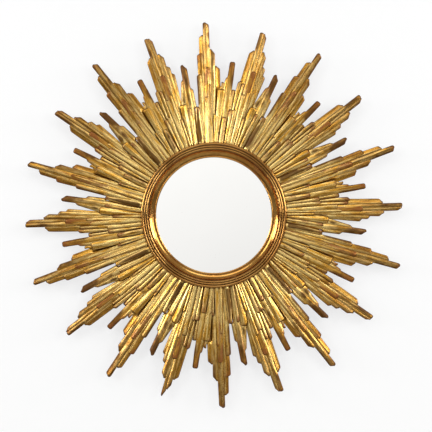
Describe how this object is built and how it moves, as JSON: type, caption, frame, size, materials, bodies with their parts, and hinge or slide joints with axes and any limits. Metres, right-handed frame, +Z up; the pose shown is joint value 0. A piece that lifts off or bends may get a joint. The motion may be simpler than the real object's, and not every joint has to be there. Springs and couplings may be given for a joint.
{
  "type": "sunburst wall mirror",
  "caption": "Round gilded wood sunburst wall mirror with a small flat glass in a beaded moulding and stepped, lapped rays.",
  "frame": {"origin": "centre of the burst in the plane of the wall, at the spacer ring's back face", "axes": "+Y into the wall, -Y the way the glass faces, +Z up, +X to the right seen from the front"},
  "size_m": [0.781, 0.039, 0.7988],
  "materials": {
    "gilt_carving": "worn gold leaf over red-brown bole",
    "gilt_moulding": "burnished gold leaf, darker in the grooves",
    "mirror": "polished, silvered on the back",
    "packing": "plain grey-brown board",
    "panel_plywood": "plain sealed plywood",
    "ring_plywood": "stained plywood",
    "button_brass": "dull, tarnished",
    "screw_steel": "plain",
    "hanger_steel": "plated, dull"
  },
  "bodies": {
    "mirror": {"tall_ray_01": "gilt_carving", "tall_ray_02": "gilt_carving", "tall_ray_03": "gilt_carving", "tall_ray_04": "gilt_carving", "tall_ray_05": "gilt_carving", "tall_ray_06": "gilt_carving", "tall_ray_07": "gilt_carving", "tall_ray_08": "gilt_carving", "tall_ray_09": "gilt_carving", "tall_ray_10": "gilt_carving", "square_ray_01": "gilt_carving", "square_ray_02": "gilt_carving", "square_ray_03": "gilt_carving", "square_ray_04": "gilt_carving", "square_ray_05": "gilt_carving", "square_ray_06": "gilt_carving", "square_ray_07": "gilt_carving", "square_ray_08": "gilt_carving", "square_ray_09": "gilt_carving", "square_ray_10": "gilt_carving", "long_ray_01": "gilt_carving", "long_ray_02": "gilt_carving", "long_ray_03": "gilt_carving", "long_ray_04": "gilt_carving", "long_ray_05": "gilt_carving", "long_ray_06": "gilt_carving", "long_ray_07": "gilt_carving", "long_ray_08": "gilt_carving", "long_ray_09": "gilt_carving", "long_ray_10": "gilt_carving", "slant_ray_01": "gilt_carving", "slant_ray_02": "gilt_carving", "slant_ray_03": "gilt_carving", "slant_ray_04": "gilt_carving", "slant_ray_05": "gilt_carving", "slant_ray_06": "gilt_carving", "slant_ray_07": "gilt_carving", "slant_ray_08": "gilt_carving", "slant_ray_09": "gilt_carving", "slant_ray_10": "gilt_carving", "ring_frame": "gilt_moulding", "mirror_glass": "mirror", "packing_sheet": "packing", "back_panel": "panel_plywood", "mounting_ring": "ring_plywood", "spacer_ring": "ring_plywood", "turn_button_screws": "screw_steel", "hanger_strap": "hanger_steel", "hanger_screws": "screw_steel"},
    "turn_button_1": {"turn_button_1": "button_brass"},
    "turn_button_2": {"turn_button_2": "button_brass"},
    "turn_button_3": {"turn_button_3": "button_brass"},
    "turn_button_4": {"turn_button_4": "button_brass"},
    "hanging_ring": {"hanging_ring": "hanger_steel"}
  },
  "joints": [
    {"name": "turn_button_1_turn", "type": "hinge", "parent": "mirror", "child": "turn_button_1", "pos_m": [0.1038, -0.00805, 0.1038], "axis": [0, 1, 0], "continuous": true},
    {"name": "turn_button_2_turn", "type": "hinge", "parent": "mirror", "child": "turn_button_2", "pos_m": [0.1038, -0.00805, -0.1038], "axis": [0, 1, 0], "continuous": true},
    {"name": "turn_button_3_turn", "type": "hinge", "parent": "mirror", "child": "turn_button_3", "pos_m": [-0.1038, -0.00805, -0.1038], "axis": [0, 1, 0], "continuous": true},
    {"name": "turn_button_4_turn", "type": "hinge", "parent": "mirror", "child": "turn_button_4", "pos_m": [-0.1038, -0.00805, 0.1038], "axis": [0, 1, 0], "continuous": true},
    {"name": "hanging_ring_swing", "type": "hinge", "parent": "mirror", "child": "hanging_ring", "pos_m": [0, -0.0059, 0.172], "axis": [1, 0, 0], "range_deg": [0, 180]}
  ]
}
